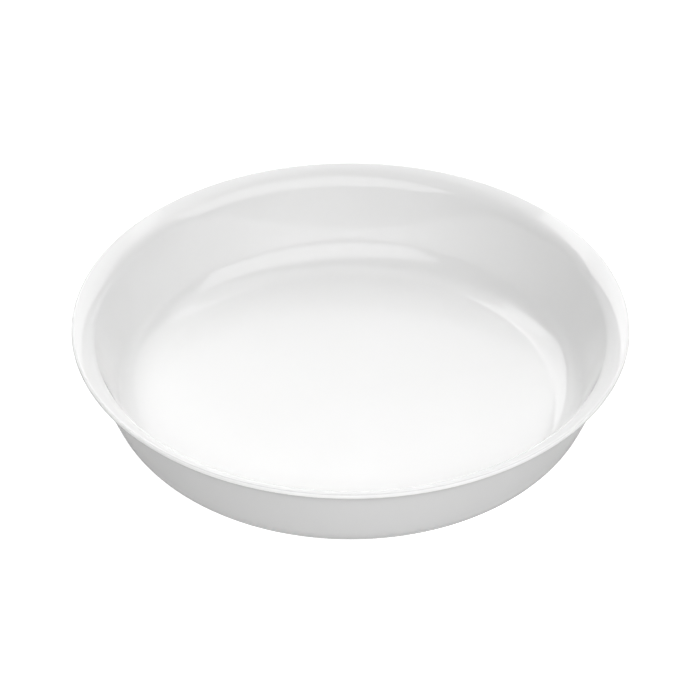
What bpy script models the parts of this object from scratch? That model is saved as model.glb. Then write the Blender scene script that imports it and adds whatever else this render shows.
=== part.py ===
"""Shallow flat-bottomed evaporating dish with an everted lip.

One thin porcelain casting carries two fused coats of glaze, one inside and one outside.
The rim's edge and the foot stay bare. The origin is the centre of the foot's resting
plane, +Z is up, and everything is turned about Z.

The wall is drawn once, as stations along the middle of its thickness: floor, corner,
straight wall, lip. Every surface of every piece is a skin at some depth beneath it.
"""

from math import cos, pi, radians, sin

import bpy

MM = 0.001

# Driving dimensions.
RIM_RADIUS = 50.0 * MM  # to the outermost point of the lip
HEIGHT = 19.4 * MM  # resting plane to the top of the lip
WALL = 1.8 * MM  # floor and wall, through both coats of glaze
EDGE = 1.0 * MM  # the lip's rounded edge, through both coats
WALL_LEAN = radians(20.8)  # outwards, from vertical
CORNER_RADIUS = 8.6 * MM  # between wall and base, on the outside
LIP_RADIUS = 5.2 * MM  # the outward curl of the lip, at mid-thickness
LIP_ANGLE = radians(67)  # lean of the lip where it ends, from vertical

# Glaze.
GLAZE = 0.2 * MM
GLAZE_CLEARANCE = 0.05 * MM  # keeps each coat's solid just clear of the porcelain
BARE_EDGE_HALF_ANGLE = radians(36)  # unglazed line along the rim, about the edge's centre
GLAZE_END = radians(-83)  # where the outside coat stops, round the corner from level

# Foot.
FOOT_HEIGHT = 0.5 * MM
FOOT_WIDTH = 3.6 * MM
FOOT_INSET = 0.3 * MM  # from the start of the corner
FOOT_ROUND = 0.2 * MM

# Fineness of the faceted solids.
TURN_STEPS = 60
CORNER_STEPS = 6
LIP_STEPS = 5
NOSE_STEPS = 6
FOOT_STEPS = 2

# Worked out from the dimensions above.
HALF_WALL = WALL / 2
HALF_EDGE = EDGE / 2
BODY_DEPTH = GLAZE + GLAZE_CLEARANCE
CORNER_MID_RADIUS = CORNER_RADIUS - HALF_WALL
FLOOR_MID_Z = FOOT_HEIGHT + HALF_WALL
TIP_RADIUS = RIM_RADIUS - HALF_EDGE
TIP_Z = HEIGHT - HALF_EDGE
WALL_RUN = (
    TIP_Z
    - FLOOR_MID_Z
    - CORNER_MID_RADIUS * (1 - sin(WALL_LEAN))
    - LIP_RADIUS * (sin(LIP_ANGLE) - sin(WALL_LEAN))
) / cos(WALL_LEAN)
FLOOR_RADIUS = (
    TIP_RADIUS
    - CORNER_MID_RADIUS * cos(WALL_LEAN)
    - WALL_RUN * sin(WALL_LEAN)
    - LIP_RADIUS * (cos(WALL_LEAN) - cos(LIP_ANGLE))
)


def spread(first, last, steps):
    """first to last in equal steps, both included."""
    return [first + (last - first) * i / steps for i in range(steps + 1)]


def on_circle(centre, radius, angle):
    return centre[0] + radius * cos(angle), centre[1] + radius * sin(angle)


def floor_stations():
    """(r, z, normal r, normal z, half thickness) from the axis, over the floor and round the corner."""
    centre = (FLOOR_RADIUS, FLOOR_MID_Z + CORNER_MID_RADIUS)
    found = [(0.0, FLOOR_MID_Z, 0.0, 1.0, HALF_WALL)]
    for angle in spread(-pi / 2, -WALL_LEAN, CORNER_STEPS):
        r, z = on_circle(centre, CORNER_MID_RADIUS, angle)
        found.append((r, z, -cos(angle), -sin(angle), HALF_WALL))
    return found


def lip_stations():
    """The same along the lip, which thins from the wall to the rim's edge as it curls outwards."""
    centre = (
        TIP_RADIUS + LIP_RADIUS * cos(LIP_ANGLE),
        TIP_Z - LIP_RADIUS * sin(LIP_ANGLE),
    )
    found = []
    for i, lean in enumerate(spread(WALL_LEAN, LIP_ANGLE, LIP_STEPS)):
        t = i / LIP_STEPS
        half = HALF_WALL + (HALF_EDGE - HALF_WALL) * t * t * (3 - 2 * t)
        r, z = on_circle(centre, LIP_RADIUS, pi - lean)
        found.append((r, z, -cos(lean), sin(lean), half))
    return found


def inner_skin(depth):
    """The inside surface, sunk by depth into the wall, from the axis out to the lip's tip."""
    stations = floor_stations() + lip_stations()
    return [(r + nr * (h - depth), z + nz * (h - depth)) for r, z, nr, nz, h in stations]


def outer_skin(depth, start):
    """The outside surface, sunk by depth, from the corner angle start out to the lip's tip."""
    centre = (FLOOR_RADIUS, FLOOR_MID_Z + CORNER_MID_RADIUS)
    corner = [
        on_circle(centre, CORNER_RADIUS - depth, angle)
        for angle in spread(start, -WALL_LEAN, CORNER_STEPS)
    ]
    lip = [(r - nr * (h - depth), z - nz * (h - depth)) for r, z, nr, nz, h in lip_stations()]
    return corner + lip


def nose(depth, first, last, steps):
    """The rounded edge of the rim, sunk by depth, between two angles about its centre."""
    return [
        on_circle((TIP_RADIUS, TIP_Z), HALF_EDGE - depth, angle)
        for angle in spread(first, last, steps)
    ]


EDGE_TOP = pi - LIP_ANGLE  # where the nose meets the lip's upper surface
EDGE_BOTTOM = -LIP_ANGLE  # and its lower surface
EDGE_MIDDLE = (EDGE_TOP + EDGE_BOTTOM) / 2


def body_outline():
    """Inside, over the rim, down the outside, round the foot ring and across its recess."""
    foot_outer = FLOOR_RADIUS - FOOT_INSET
    foot_inner = foot_outer - FOOT_WIDTH
    foot = [
        on_circle((foot_outer - FOOT_ROUND, FOOT_ROUND), FOOT_ROUND, angle)
        for angle in spread(0, -pi / 2, FOOT_STEPS)
    ] + [
        on_circle((foot_inner + FOOT_ROUND, FOOT_ROUND), FOOT_ROUND, angle)
        for angle in spread(-pi / 2, -pi, FOOT_STEPS)
    ]
    recess = [(foot_inner, FOOT_HEIGHT), (0.0, FOOT_HEIGHT)]
    down_outside = outer_skin(BODY_DEPTH, -pi / 2)[::-1]
    shoulder = [(foot_outer, down_outside[-1][1])]
    rim = nose(BODY_DEPTH, EDGE_TOP, EDGE_BOTTOM, NOSE_STEPS)[1:-1]
    return inner_skin(BODY_DEPTH) + rim + down_outside + shoulder + foot + recess


def inside_glaze_outline():
    """The inside coat: over the floor, wall and lip, and onto the edge as far as the bare line."""
    stop = EDGE_MIDDLE + BARE_EDGE_HALF_ANGLE
    upper = inner_skin(0) + nose(0, EDGE_TOP, stop, NOSE_STEPS // 2)[1:]
    lower = inner_skin(GLAZE) + nose(GLAZE, EDGE_TOP, stop, NOSE_STEPS // 2)[1:]
    return upper + lower[::-1]


def outside_glaze_outline():
    """The outside coat: from the bare line on the edge down to the bare foot, a closed loop."""
    start = EDGE_MIDDLE - BARE_EDGE_HALF_ANGLE
    surfaces = [
        nose(depth, start, EDGE_BOTTOM, NOSE_STEPS // 2)[:-1] + outer_skin(depth, GLAZE_END)[::-1]
        for depth in (0, GLAZE)
    ]
    return surfaces[0] + surfaces[1][::-1]


def material(name, colour, roughness):
    made = bpy.data.materials.new(name)
    made.use_nodes = True
    shader = made.node_tree.nodes["Principled BSDF"]
    shader.inputs["Base Color"].default_value = (*colour, 1)
    shader.inputs["Roughness"].default_value = roughness
    shader.inputs["Metallic"].default_value = 0
    return made


def turned(name, outline, finish, parent, collection, ring=False):
    """A solid turned about Z from its outline, which runs down the outer side; a ring's outline closes."""
    count = len(outline)
    edges = [(i, i + 1) for i in range(count - 1)]
    if ring:
        edges.append((count - 1, 0))
    mesh = bpy.data.meshes.new(name)
    mesh.from_pydata([(r, 0, z) for r, z in outline], edges, [])
    mesh.materials.append(finish)
    obj = bpy.data.objects.new(name, mesh)
    collection.objects.link(obj)
    obj.parent = parent
    screw = obj.modifiers.new("turn", "SCREW")
    screw.axis = "Z"
    screw.angle = 2 * pi
    screw.steps = TURN_STEPS
    screw.render_steps = TURN_STEPS
    screw.use_merge_vertices = True
    screw.merge_threshold = 0.001 * MM
    screw.use_smooth_shade = True
    return obj


def clear_scene():
    for obj in list(bpy.data.objects):
        bpy.data.objects.remove(obj, do_unlink=True)


def main():
    clear_scene()
    collection = bpy.data.collections.new("evaporating_dish")
    bpy.context.scene.collection.children.link(collection)
    dish = bpy.data.objects.new("dish", None)
    collection.objects.link(dish)

    biscuit = material("bare_porcelain", (0.93, 0.93, 0.92), 0.62)
    glaze = material("white_glaze", (0.80, 0.80, 0.80), 0.04)
    turned("porcelain_body", body_outline(), biscuit, dish, collection)
    turned("inside_glaze", inside_glaze_outline(), glaze, dish, collection)
    turned("outside_glaze", outside_glaze_outline(), glaze, dish, collection, ring=True)


main()
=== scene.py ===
"""Looks of the porcelain evaporating dish: its fine surfaces, glaze, bare porcelain, studio and camera.

The CAD nodes are faceted, so each is replaced by a smooth piece of the same section, turned about Z.
A coat of glaze thins out where it stops, and its end wanders a little round the dish.
Lengths are in metres.
"""

from math import cos, pi, radians, sin, tan, tau

import bpy
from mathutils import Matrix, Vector


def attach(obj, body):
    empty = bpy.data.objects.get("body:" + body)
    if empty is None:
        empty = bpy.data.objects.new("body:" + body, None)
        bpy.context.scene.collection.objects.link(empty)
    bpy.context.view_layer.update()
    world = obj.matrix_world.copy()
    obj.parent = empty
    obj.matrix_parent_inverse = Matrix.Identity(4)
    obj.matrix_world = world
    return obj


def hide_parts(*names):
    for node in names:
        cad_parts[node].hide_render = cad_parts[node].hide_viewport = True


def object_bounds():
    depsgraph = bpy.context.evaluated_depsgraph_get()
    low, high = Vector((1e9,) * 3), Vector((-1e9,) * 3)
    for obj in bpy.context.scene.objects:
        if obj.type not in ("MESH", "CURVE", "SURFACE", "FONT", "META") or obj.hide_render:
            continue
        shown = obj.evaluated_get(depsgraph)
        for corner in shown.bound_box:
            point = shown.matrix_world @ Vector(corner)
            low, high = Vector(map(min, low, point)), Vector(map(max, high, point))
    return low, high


MM = 0.001

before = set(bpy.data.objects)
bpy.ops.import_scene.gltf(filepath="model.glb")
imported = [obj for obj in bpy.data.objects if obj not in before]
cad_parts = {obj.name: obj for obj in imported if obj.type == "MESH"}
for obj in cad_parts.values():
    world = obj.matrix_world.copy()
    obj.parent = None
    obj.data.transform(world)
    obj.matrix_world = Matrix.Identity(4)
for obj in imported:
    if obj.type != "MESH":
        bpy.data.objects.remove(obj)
CAD_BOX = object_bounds()

# The dish's section, as it was designed; its width and height come from the frame.
RIM_RADIUS = CAD_BOX[1].x
HEIGHT = CAD_BOX[1].z
WALL = 1.8 * MM  # floor and wall, through both coats of glaze
EDGE = 1.0 * MM  # the lip's rounded edge, through both coats
WALL_LEAN = radians(20.8)  # outwards, from vertical
CORNER_RADIUS = 8.6 * MM  # between wall and base, on the outside
LIP_RADIUS = 5.2 * MM  # the outward curl of the lip, at mid-thickness
LIP_ANGLE = radians(67)  # lean of the lip where it ends, from vertical
GLAZE = 0.2 * MM
FOOT_HEIGHT = 0.5 * MM
FOOT_WIDTH = 3.6 * MM
FOOT_INSET = 0.3 * MM  # from the start of the corner
FOOT_ROUND = 0.2 * MM

# Where the glaze stops.
SKIN_GAP = 0.01 * MM  # between a coat and the porcelain under it
THINNEST = 0.012 * MM  # a coat's thickness at its very end
BARE_DEPTH = 0.018 * MM  # how far the bare line lies below the coats on either side of it
BARE_HALF_ANGLE = radians(36)  # of the bare line, about the middle of the rim's edge
BARE_WANDER = 0.12  # share of that angle by which it wanders
FEATHER = 0.3 * MM  # length over which a coat thins out at the bare line
FOOT_END = radians(-82.5)  # where the outside coat stops above the foot, round the corner from level
FOOT_END_WANDER = radians(1.6)
FOOT_ROLL = 0.7 * MM  # length of the rounded roll of glaze at that end
FOOT_ROLL_HEIGHT = 0.06 * MM
ROLL_FINENESS_START = -pi / 3  # from here down to the roll, the outside coat has closer rings

# Fineness of the turned surfaces.
TURN_STEPS = 240
FLOOR_STEPS = 7
CORNER_STEPS = 18
WALL_STEPS = 7
LIP_STEPS = 16
NOSE_STEPS = 24
ROUND_STEPS = 5
SHADING_MARGIN = 0.45 * MM  # from the floor's last ring to the corner, so that the floor shades flat

# Worked out from the dimensions above.
HALF_WALL = WALL / 2
HALF_EDGE = EDGE / 2
BODY_DEPTH = GLAZE + SKIN_GAP
CORNER_MID = CORNER_RADIUS - HALF_WALL
FLOOR_MID_Z = FOOT_HEIGHT + HALF_WALL
FLOOR_TOP = FLOOR_MID_Z + HALF_WALL
TIP = (RIM_RADIUS - HALF_EDGE, HEIGHT - HALF_EDGE)
WALL_RUN = (
    TIP[1]
    - FLOOR_MID_Z
    - CORNER_MID * (1 - sin(WALL_LEAN))
    - LIP_RADIUS * (sin(LIP_ANGLE) - sin(WALL_LEAN))
) / cos(WALL_LEAN)
FLOOR_RADIUS = (
    TIP[0]
    - CORNER_MID * cos(WALL_LEAN)
    - WALL_RUN * sin(WALL_LEAN)
    - LIP_RADIUS * (cos(WALL_LEAN) - cos(LIP_ANGLE))
)
CORNER_CENTRE = (FLOOR_RADIUS, FLOOR_MID_Z + CORNER_MID)
LIP_CENTRE = (TIP[0] + LIP_RADIUS * cos(LIP_ANGLE), TIP[1] - LIP_RADIUS * sin(LIP_ANGLE))
EDGE_TOP = pi - LIP_ANGLE  # where the rim's rounded edge meets the lip's upper surface
EDGE_BOTTOM = -LIP_ANGLE  # and its lower surface
EDGE_MIDDLE = (EDGE_TOP + EDGE_BOTTOM) / 2


def spread(first, last, steps):
    """first to last in equal steps, both included."""
    return [first + (last - first) * i / steps for i in range(steps + 1)]


def smooth(t):
    t = min(1.0, max(0.0, t))
    return t * t * (3 - 2 * t)


def on_circle(centre, radius, angle):
    return centre[0] + radius * cos(angle), centre[1] + radius * sin(angle)


# ---------------------------------------------------------------- section


def wall_stations():
    """(r, z, normal r, normal z, half thickness) up the straight wall and along the lip."""
    foot = on_circle(CORNER_CENTRE, CORNER_MID, -WALL_LEAN)
    found = []
    for run in spread(0, WALL_RUN, WALL_STEPS)[1:-1]:
        point = (foot[0] + run * sin(WALL_LEAN), foot[1] + run * cos(WALL_LEAN))
        found.append((*point, -cos(WALL_LEAN), sin(WALL_LEAN), HALF_WALL))
    for i, lean in enumerate(spread(WALL_LEAN, LIP_ANGLE, LIP_STEPS)):
        half = HALF_WALL + (HALF_EDGE - HALF_WALL) * smooth(i / LIP_STEPS)
        found.append((*on_circle(LIP_CENTRE, LIP_RADIUS, pi - lean), -cos(lean), sin(lean), half))
    return found


def inner_skin(depth):
    """The inside surface, sunk by depth, from beside the axis out to the end of the lip."""
    rings = spread(0, FLOOR_RADIUS, FLOOR_STEPS)[1:-1]
    rings.append(FLOOR_RADIUS - SHADING_MARGIN)
    floor = [(r, FLOOR_TOP - depth) for r in rings]
    corner = [
        on_circle(CORNER_CENTRE, CORNER_MID - HALF_WALL + depth, angle)
        for angle in spread(-pi / 2, -WALL_LEAN, CORNER_STEPS)
    ]
    wall = [(r + nr * (h - depth), z + nz * (h - depth)) for r, z, nr, nz, h in wall_stations()]
    return floor + corner + wall


def outer_wall(depth):
    """The outside surface above the corner, sunk by depth, up to the end of the lip."""
    return [(r - nr * (h - depth), z - nz * (h - depth)) for r, z, nr, nz, h in wall_stations()]


def to_bare_line(angle):
    """Distance along the rim's edge from the bare line, 0 on it."""
    return max(0.0, abs(angle - EDGE_MIDDLE) - BARE_HALF_ANGLE) * HALF_EDGE


def rim_body_depth(angle):
    """The porcelain rises under the thinning glaze to its bare line."""
    return BARE_DEPTH + (BODY_DEPTH - BARE_DEPTH) * smooth(to_bare_line(angle) / FEATHER)


def rim_under_glaze_depth(angle):
    return rim_body_depth(angle) - SKIN_GAP


def rim_glaze_depth(angle):
    """The glaze's own surface sinks to meet it."""
    return (BARE_DEPTH - THINNEST) * (1 - smooth(to_bare_line(angle) / FEATHER))


def rim(depth_at, first, last, steps):
    """The rim's rounded edge, sunk by depth_at(angle), between two angles about its centre."""
    return [on_circle(TIP, HALF_EDGE - depth_at(a), a) for a in spread(first, last, steps)]


def wander(azimuth, seed):
    """A smooth, closed, uneven ripple between about -1 and 1 round the dish."""
    return (
        0.45 * sin(2 * azimuth + seed)
        + 0.30 * sin(5 * azimuth + 2.3 * seed)
        + 0.17 * sin(11 * azimuth + 4.1 * seed)
        + 0.08 * sin(23 * azimuth + 7.7 * seed)
    )


# ---------------------------------------------------------------- pieces


def turn(name, outline_at, finish, node, poles=()):
    """A closed solid, from the (r, z) points that outline_at(azimuth) gives all round the axis.

    poles gives the two heights where the outline's ends meet the axis; without them the outline is a loop.
    """
    outlines = [outline_at(tau * i / TURN_STEPS) for i in range(TURN_STEPS)]
    count = len(outlines[0])
    points = []
    faces = []
    for i, outline in enumerate(outlines):
        azimuth = tau * i / TURN_STEPS
        points += [(r * cos(azimuth), r * sin(azimuth), z) for r, z in outline]
        here = i * count
        there = (i + 1) % TURN_STEPS * count
        for j in range(count - 1 if poles else count):
            k = (j + 1) % count
            faces.append((here + j, here + k, there + k, there + j))
    for height, j in zip(poles, (0, count - 1)):
        points.append((0, 0, height))
        for i in range(TURN_STEPS):
            edge = (i * count + j, (i + 1) % TURN_STEPS * count + j)
            faces.append((len(points) - 1, *(edge if j == 0 else edge[::-1])))
    mesh = bpy.data.meshes.new(name)
    mesh.from_pydata(points, [], faces)
    mesh.shade_smooth()
    mesh.materials.append(finish)
    piece = bpy.data.objects.new(name, mesh)
    bpy.context.scene.collection.objects.link(piece)
    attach(piece, "root")
    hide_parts(node)


def body_outline(_azimuth):
    """Inside, over the rim, down the outside, round the foot ring and across its recess."""
    foot_outer = FLOOR_RADIUS - FOOT_INSET
    foot_inner = foot_outer - FOOT_WIDTH
    corner = [
        on_circle(CORNER_CENTRE, CORNER_RADIUS - BODY_DEPTH, angle)
        for angle in spread(-WALL_LEAN, -pi / 2, CORNER_STEPS)
    ]
    shoulder = [(foot_outer, corner[-1][1])]
    rounds = (
        (foot_outer - FOOT_ROUND, FOOT_ROUND, 0, -pi / 2),
        (foot_inner + FOOT_ROUND, FOOT_ROUND, -pi / 2, -pi),
        (foot_inner - FOOT_ROUND, FOOT_HEIGHT - FOOT_ROUND, 0, pi / 2),
    )
    foot = [
        on_circle((r, z), FOOT_ROUND, angle)
        for r, z, first, last in rounds
        for angle in spread(first, last, ROUND_STEPS)
    ]
    recess = [(r, FOOT_HEIGHT) for r in spread(foot_inner, 0, FLOOR_STEPS)[1:-1]]
    edge = rim(rim_body_depth, EDGE_TOP, EDGE_BOTTOM, NOSE_STEPS)[1:-1]
    down_outside = outer_wall(BODY_DEPTH)[::-1] + corner
    return inner_skin(BODY_DEPTH) + edge + down_outside + shoulder + foot + recess


def inside_glaze_outline(azimuth):
    """The inside coat, from the axis out to the bare line and back underneath."""
    stop = EDGE_MIDDLE + BARE_HALF_ANGLE * (1 + BARE_WANDER * wander(azimuth, 1.0))
    steps = NOSE_STEPS // 2
    upper = inner_skin(0) + rim(rim_glaze_depth, EDGE_TOP, stop, steps)[1:]
    lower = inner_skin(GLAZE) + rim(rim_under_glaze_depth, EDGE_TOP, stop, steps)[1:]
    return upper + lower[::-1]


def outside_glaze_outline(azimuth):
    """The outside coat, from the bare line down to its roll above the foot and back underneath."""
    start = EDGE_MIDDLE - BARE_HALF_ANGLE * (1 + BARE_WANDER * wander(azimuth, 5.0))
    end = FOOT_END + FOOT_END_WANDER * wander(azimuth, 2.0)
    steps = NOSE_STEPS // 2

    def roll_depth(angle):
        """Below the full coat at its very end, and a little proud of it one roll's length away."""
        along = (angle - end) * CORNER_RADIUS / FOOT_ROLL
        ending = (GLAZE - THINNEST) * (1 - smooth(along) ** 0.5)
        return ending - FOOT_ROLL_HEIGHT * smooth(along) * smooth(2 - along)

    angles = spread(-WALL_LEAN, ROLL_FINENESS_START, CORNER_STEPS // 2)
    angles += spread(ROLL_FINENESS_START, end, CORNER_STEPS)[1:]
    corner = [on_circle(CORNER_CENTRE, CORNER_RADIUS - roll_depth(a), a) for a in angles]
    under_corner = [on_circle(CORNER_CENTRE, CORNER_RADIUS - GLAZE, a) for a in angles]
    outer = rim(rim_glaze_depth, start, EDGE_BOTTOM, steps)[:-1] + outer_wall(0)[::-1] + corner
    under_rim = rim(rim_under_glaze_depth, start, EDGE_BOTTOM, steps)[:-1]
    inner = under_rim + outer_wall(GLAZE)[::-1] + under_corner
    return outer + inner[::-1]


# ---------------------------------------------------------------- materials


class Nodes:
    """A node tree, with short calls to add and link nodes."""

    def __init__(self, owner):
        owner.use_nodes = True
        self.tree = owner.node_tree

    def set(self, socket, value):
        if isinstance(value, bpy.types.NodeSocket):
            self.tree.links.new(value, socket)
        else:
            socket.default_value = value

    def add(self, kind, inputs=None, **settings):
        node = self.tree.nodes.new("ShaderNode" + kind)
        for key, value in settings.items():
            setattr(node, key, value)
        for key, value in (inputs or {}).items():
            self.set(node.inputs[key], value)
        return node

    def shader(self, **inputs):
        """Sets the Principled BSDF's inputs, with _ for each space in their names."""
        node = self.tree.nodes["Principled BSDF"]
        for key, value in inputs.items():
            self.set(node.inputs[key.replace("_", " ")], value)

    def place(self):
        return self.add("TexCoord").outputs["Object"]

    def noise(self, place, scale, detail, roughness=0.5):
        inputs = {"Vector": place, "Scale": scale, "Detail": detail, "Roughness": roughness}
        return self.add("TexNoise", inputs).outputs["Fac"]

    def between(self, value, low, high, first, last):
        """first below low, last above high, and even in between: greys or colours."""
        node = self.add("ValToRGB", {"Fac": value})
        ends = zip(node.color_ramp.elements, ((low, first), (high, last)))
        for element, (position, colour) in ends:
            element.position = position
            element.color = (*((colour,) * 3 if isinstance(colour, float) else colour), 1)
        return node.outputs["Color"]

    def camera_rays(self, seen, otherwise):
        """One number for what the camera sees directly and another for light on its way."""
        is_camera = self.add("LightPath").outputs["Is Camera Ray"]
        inputs = {0: is_camera, 1: seen - otherwise, 2: otherwise}
        return self.add("Math", inputs, operation="MULTIPLY_ADD").outputs[0]

    def bump(self, height, strength, distance, normal=None):
        inputs = {"Height": height, "Strength": strength, "Distance": distance}
        if normal:
            inputs["Normal"] = normal
        return self.add("Bump", inputs).outputs["Normal"]


def new_material(name):
    made = bpy.data.materials.new(name)
    return made, Nodes(made)


def glaze_material(name):
    """White porcelain glaze: glossy, with faint clouds in its tone and a slow swell in its surface."""
    made, nodes = new_material(name)
    place = nodes.place()
    clouds = nodes.noise(place, 40.0, 3.0)
    smears = nodes.noise(place, 90.0, 4.0)
    swell = nodes.noise(place, 55.0, 1.0)
    orange_peel = nodes.noise(place, 260.0, 1.0)
    swelling = nodes.bump(swell, 0.25, 0.06 * MM)
    nodes.shader(
        Base_Color=nodes.between(clouds, 0.3, 0.7, (0.773, 0.773, 0.771), (0.787, 0.787, 0.786)),
        Roughness=nodes.between(smears, 0.3, 0.75, 0.025, 0.045),
        IOR=1.58,
        Normal=nodes.bump(orange_peel, 0.12, 0.02 * MM, swelling),
    )
    return made


def biscuit_material():
    """Bare fired porcelain: matte, with a fine grain and faint grey rubbing."""
    made, nodes = new_material("bare_porcelain")
    place = nodes.place()
    grain = nodes.noise(place, 2600.0, 3.0, 0.6)
    rubbing = nodes.noise(place, 120.0, 5.0, 0.6)
    nodes.shader(
        Base_Color=nodes.between(rubbing, 0.35, 0.75, (0.93, 0.93, 0.925), (0.90, 0.90, 0.893)),
        Roughness=nodes.between(grain, 0.3, 0.7, 0.55, 0.72),
        IOR=1.5,
        Normal=nodes.bump(grain, 0.5, 0.03 * MM),
    )
    return made


# ---------------------------------------------------------------- studio

FLOOR_HALF = 1.3  # short of the softboxes; past it the camera sees the white surroundings
FLOOR_DROP = 0.02 * MM  # keeps it from coinciding with the foot's resting face
FLOOR_ALBEDO = 0.47
FLOOR_GLOW = 0.2  # the table is lit a little from beneath
FLOOR_LIFT = 0.93  # the same where the camera sees it, so that it shows white
AMBIENT = 0.02  # the light of the surroundings
SOFTBOX_DISTANCE = 1.6

# Name, azimuth, elevation, width and height in degrees, and radiance, as softbox() takes them.
PANELS = (
    ("front_panel", 160, 43, 98, 47, 1.75),
    ("low_back_panel", -8, 8, 140, 16, 0.3),
    ("left_back_panel", -37, 38, 40, 36, 1.9),
    ("right_back_panel", 26, 38, 58, 40, 1.0),
    ("top_back_panel", 8, 71, 106, 32, 0.9),
)
LAMPS = (
    ("front_lamp", 179, 44, 44, 20, 6.9),
    ("low_front_lamp", 178, 15, 40, 22, 0.75),
    ("back_lamp", 0, 43, 34, 66, 4.7),
    ("right_lamp", 144, 24, 72, 27, 1.0),
    ("low_back_lamp", 0, 26, 110, 36, 0.85),
)


def floor():
    """Plain white paper under the foot."""
    signs = ((-1, -1), (1, -1), (1, 1), (-1, 1))
    corners = [(x * FLOOR_HALF, y * FLOOR_HALF, -FLOOR_DROP) for x, y in signs]
    mesh = bpy.data.meshes.new("floor")
    mesh.from_pydata(corners, [], [(0, 1, 2, 3)])
    paper, nodes = new_material("floor_paper")
    nodes.shader(
        Base_Color=(FLOOR_ALBEDO, FLOOR_ALBEDO, FLOOR_ALBEDO, 1),
        Roughness=0.9,
        Specular_IOR_Level=0.1,
        Emission_Color=(1, 1, 1, 1),
        Emission_Strength=nodes.camera_rays(FLOOR_LIFT, FLOOR_GLOW),
    )
    mesh.materials.append(paper)
    made = bpy.data.objects.new("floor", mesh)
    bpy.context.scene.collection.objects.link(made)


def softbox(name, azimuth, elevation, width, height, radiance, mirrored):
    """A flat light facing the dish; all four angles are in degrees, seen from the dish.

    Azimuth 0 is behind the dish (+Y) and 90 is to its right (+X). A mirrored one shows only as a
    reflection in the glaze; the others light the dish without showing in it.
    """
    light = bpy.data.lights.new(name, "AREA")
    light.shape = "RECTANGLE"
    light.size = 2 * SOFTBOX_DISTANCE * tan(radians(width / 2))
    light.size_y = 2 * SOFTBOX_DISTANCE * tan(radians(height / 2))
    light.energy = radiance * pi * light.size * light.size_y
    level = cos(radians(elevation))
    away = Vector(
        (sin(radians(azimuth)) * level, cos(radians(azimuth)) * level, sin(radians(elevation)))
    )
    made = bpy.data.objects.new(name, light)
    made.location = away * SOFTBOX_DISTANCE
    made.rotation_euler = away.to_track_quat("Z", "Y").to_euler()
    made.visible_camera = False
    made.visible_diffuse = not mirrored
    made.visible_glossy = mirrored
    bpy.context.scene.collection.objects.link(made)


def studio():
    """Surroundings that the camera sees as white but that hardly light anything, panels and lamps."""
    world = bpy.data.worlds.new("studio")
    nodes = Nodes(world)
    background = world.node_tree.nodes["Background"]
    background.inputs["Color"].default_value = (1, 1, 1, 1)
    nodes.set(background.inputs["Strength"], nodes.camera_rays(1.0, AMBIENT))
    bpy.context.scene.world = world
    for panel in PANELS:
        softbox(*panel, mirrored=True)
    for lamp in LAMPS:
        softbox(*lamp, mirrored=False)


CAMERA_DISTANCE = 0.6
CAMERA_ELEVATION = radians(37.149)
CAMERA_AIM = Vector((-0.1 * MM, 0, 12.15 * MM))
CAMERA_LENS = 170.96  # in millimetres, as Blender has it, on a sensor 36 wide


def camera():
    data = bpy.data.cameras.new("camera")
    data.sensor_width = 36
    data.lens = CAMERA_LENS
    made = bpy.data.objects.new("camera", data)
    back = Vector((0, -cos(CAMERA_ELEVATION), sin(CAMERA_ELEVATION)))
    made.location = CAMERA_AIM + CAMERA_DISTANCE * back
    made.rotation_euler = (pi / 2 - CAMERA_ELEVATION, 0, 0)
    bpy.context.scene.collection.objects.link(made)
    bpy.context.scene.camera = made


def dish():
    turn(
        "porcelain_dish",
        body_outline,
        biscuit_material(),
        "porcelain_body",
        poles=(FLOOR_TOP - BODY_DEPTH, FOOT_HEIGHT),
    )
    turn(
        "glaze_inside",
        inside_glaze_outline,
        glaze_material("inside_glaze"),
        "inside_glaze",
        poles=(FLOOR_TOP, FLOOR_TOP - GLAZE),
    )
    turn(
        "glaze_outside",
        outside_glaze_outline,
        glaze_material("outside_glaze"),
        "outside_glaze",
    )


camera()
dish()
floor()
studio()
bpy.context.scene.view_settings.view_transform = "Standard"
bpy.context.view_layer.update()
